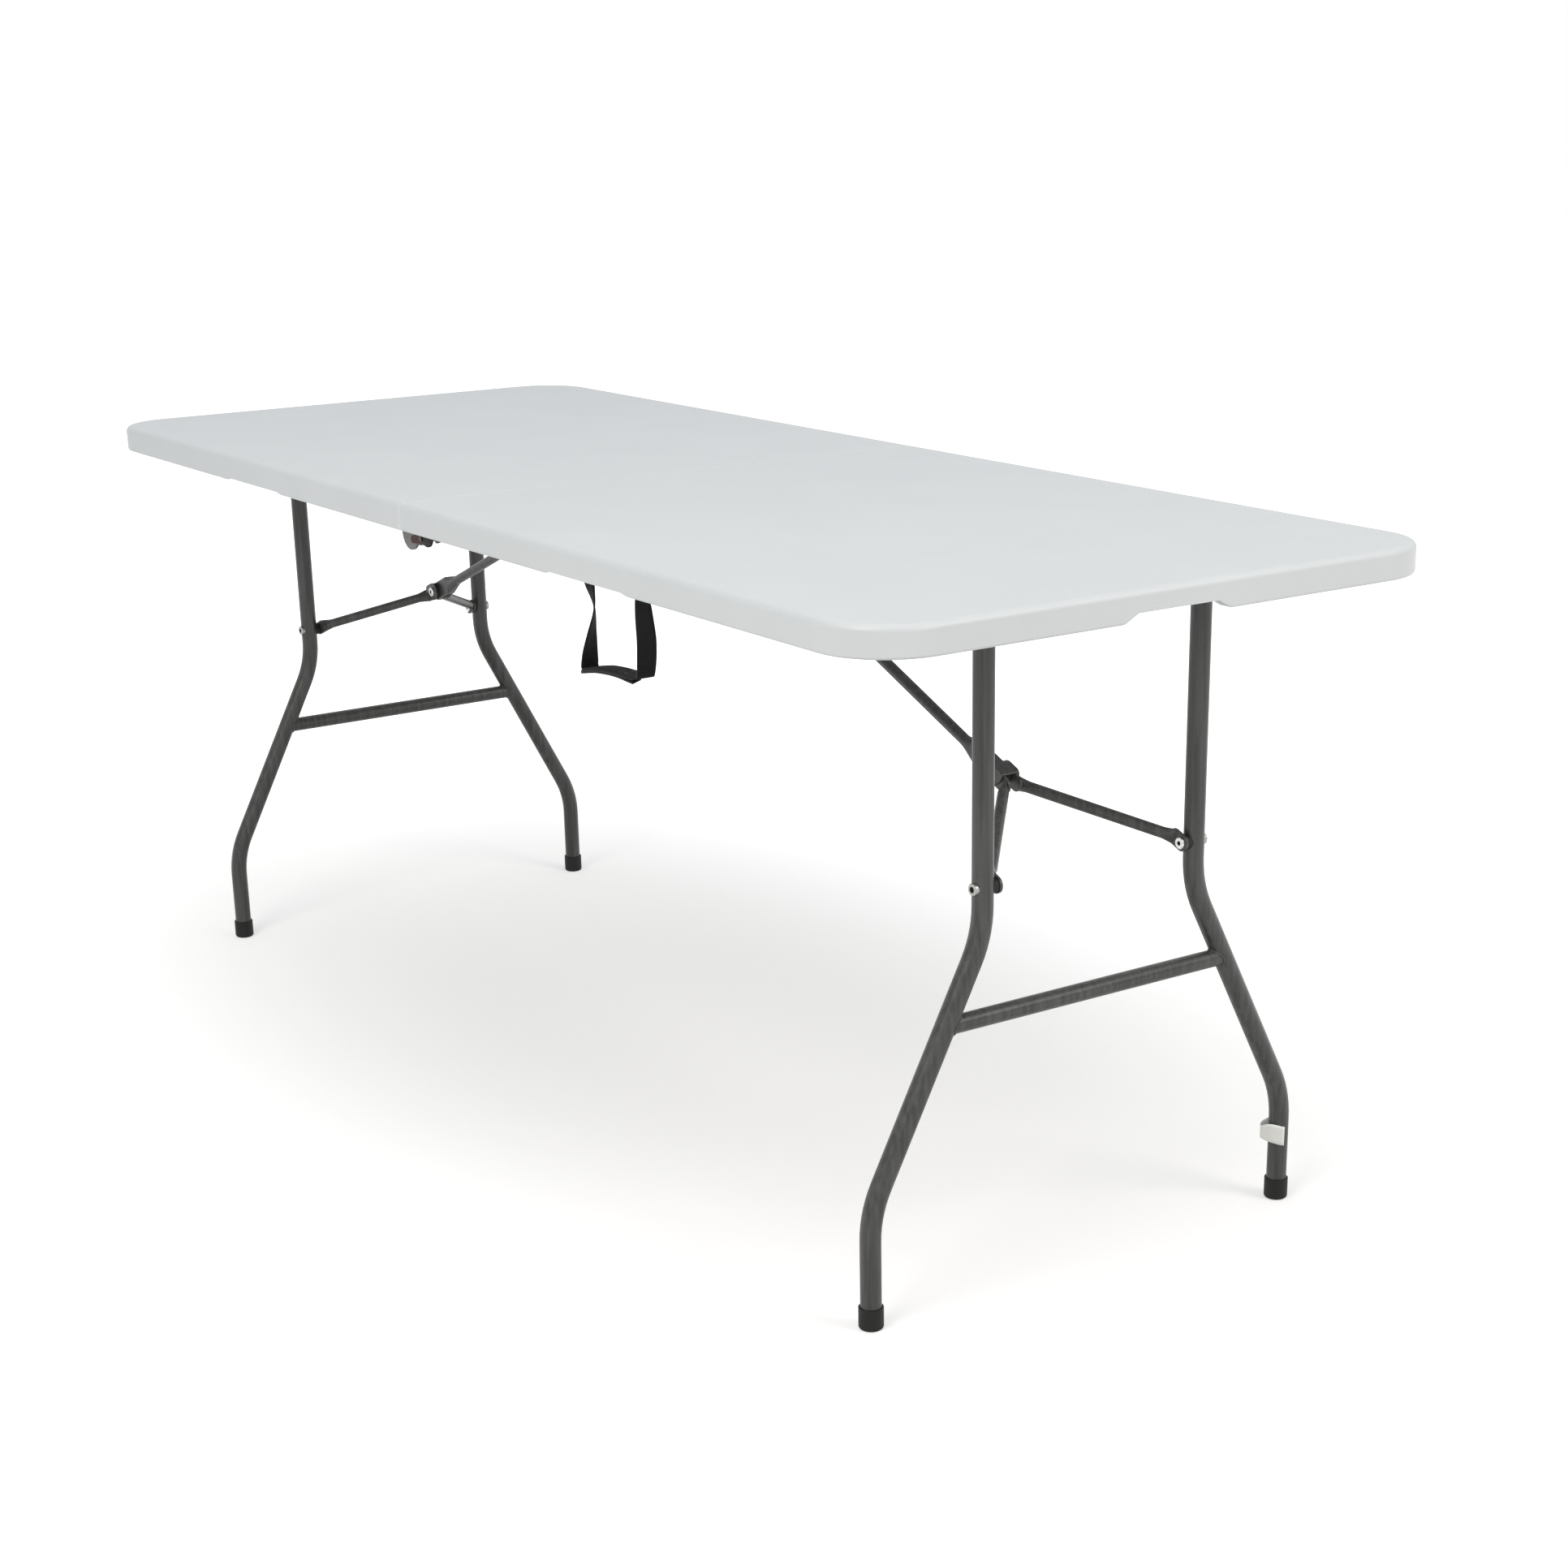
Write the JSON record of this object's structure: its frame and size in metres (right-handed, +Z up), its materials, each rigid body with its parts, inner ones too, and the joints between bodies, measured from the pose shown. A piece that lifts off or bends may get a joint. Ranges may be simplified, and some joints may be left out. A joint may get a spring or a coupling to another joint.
{
  "type": "folding table",
  "caption": "Rectangular folding table: hollow moulded top that folds in half, bent tube legs with knuckle braces that fold under it, and a webbing carry handle.",
  "frame": {"origin": "on the floor under the middle of the unfolded table", "axes": "+X along the table towards the half that has the handle, +Z up, -Y the long side with the handle"},
  "size_m": [1.83, 0.72, 0.74],
  "materials": {
    "top_plastic": "satin",
    "rail_steel": "satin",
    "leg_steel": "powder coat",
    "bright_steel": "plated",
    "hinge_steel": "satin",
    "nylon": "matte",
    "black_plastic": "matte",
    "latch_plastic": "glossy",
    "webbing": "woven",
    "tag_film": "matte"
  },
  "bodies": {
    "half_a": {"top_a": "top_plastic", "side_rail_near_a": "rail_steel", "side_rail_far_a": "rail_steel", "underside_screws_a": "bright_steel", "leg_bracket_near_a": "rail_steel", "leg_bracket_far_a": "rail_steel", "leg_bushes_a": "nylon", "brace_brackets_a": "rail_steel", "brace_pin_a": "bright_steel", "hinge_plate_near_a": "hinge_steel", "hinge_plate_far_a": "hinge_steel", "hinge_pin_near": "bright_steel", "hinge_pin_far": "bright_steel", "latch_pin": "bright_steel", "handle_tabs": "webbing", "handle_plates": "bright_steel", "handle_screws": "bright_steel"},
    "legs_a": {"leg_pivot_tube_a": "leg_steel", "leg_axles_a": "bright_steel", "leg_near_a": "leg_steel", "leg_far_a": "leg_steel", "leg_crossbar_a": "leg_steel", "foot_near_a": "black_plastic", "foot_far_a": "black_plastic", "leg_rivets_a": "bright_steel", "leg_spacers_a": "black_plastic", "leg_tag": "tag_film"},
    "upper_arm_a": {"upper_arm_a": "leg_steel", "knuckle_rivet_a": "leg_steel"},
    "lower_arms_a": {"lower_arm_near_a": "leg_steel", "lower_arm_far_a": "leg_steel", "arm_rivets_a": "bright_steel"},
    "half_b": {"top_b": "top_plastic", "side_rail_near_b": "rail_steel", "side_rail_far_b": "rail_steel", "underside_screws_b": "bright_steel", "leg_bracket_near_b": "rail_steel", "leg_bracket_far_b": "rail_steel", "leg_bushes_b": "nylon", "brace_brackets_b": "rail_steel", "brace_pin_b": "bright_steel", "hinge_plate_near_b": "hinge_steel", "hinge_plate_far_b": "hinge_steel"},
    "legs_b": {"leg_pivot_tube_b": "leg_steel", "leg_axles_b": "bright_steel", "leg_near_b": "leg_steel", "leg_far_b": "leg_steel", "leg_crossbar_b": "leg_steel", "foot_near_b": "black_plastic", "foot_far_b": "black_plastic", "leg_rivets_b": "bright_steel", "leg_spacers_b": "black_plastic"},
    "upper_arm_b": {"upper_arm_b": "leg_steel", "knuckle_rivet_b": "leg_steel"},
    "lower_arms_b": {"lower_arm_near_b": "leg_steel", "lower_arm_far_b": "leg_steel", "arm_rivets_b": "bright_steel"},
    "latch": {"latch_lever": "latch_plastic"},
    "handle": {"handle_loop": "webbing"}
  },
  "joints": [
    {"name": "centre_fold", "type": "hinge", "parent": "half_a", "child": "half_b", "pos_m": [0, 0, 0.695], "axis": [0, -1, 0], "range_deg": [0, 90]},
    {"name": "leg_fold_a", "type": "hinge", "parent": "half_a", "child": "legs_a", "pos_m": [0.794, 0, 0.7075], "axis": [0, 1, 0], "range_deg": [0, 90]},
    {"name": "upper_arm_swing_a", "type": "hinge", "parent": "half_a", "child": "upper_arm_a", "pos_m": [0.09, 0, 0.728], "axis": [0, -1, 0], "range_deg": [0, 21.64]},
    {"name": "knuckle_a", "type": "hinge", "parent": "upper_arm_a", "child": "lower_arms_a", "pos_m": [0.64268, 0, 0.50033], "axis": [0, 1, 0], "range_deg": [0, 174.85]},
    {"name": "leg_fold_b", "type": "hinge", "parent": "half_b", "child": "legs_b", "pos_m": [-0.794, 0, 0.7075], "axis": [0, -1, 0], "range_deg": [0, 90]},
    {"name": "upper_arm_swing_b", "type": "hinge", "parent": "half_b", "child": "upper_arm_b", "pos_m": [-0.09, 0, 0.728], "axis": [0, 1, 0], "range_deg": [0, 21.64]},
    {"name": "knuckle_b", "type": "hinge", "parent": "upper_arm_b", "child": "lower_arms_b", "pos_m": [-0.64268, 0, 0.50033], "axis": [0, -1, 0], "range_deg": [0, 174.85]},
    {"name": "latch_swing", "type": "hinge", "parent": "half_a", "child": "latch", "pos_m": [0.013, -0.3401, 0.699], "axis": [0, 1, 0], "range_deg": [0, 20], "stiffness_Nm_per_rad": 0.05, "springref_deg": -17.19},
    {"name": "handle_swing", "type": "hinge", "parent": "half_a", "child": "handle", "pos_m": [0.43975, -0.3353, 0.7065], "axis": [1, 0, 0], "range_deg": [-75, 45]}
  ],
  "couplings": [
    {"joint": "upper_arm_swing_a", "follows": "leg_fold_a", "ratio": 0.24029},
    {"joint": "knuckle_a", "follows": "leg_fold_a", "ratio": 1.9427},
    {"joint": "upper_arm_swing_b", "follows": "leg_fold_b", "ratio": 0.24029},
    {"joint": "knuckle_b", "follows": "leg_fold_b", "ratio": 1.9427}
  ]
}
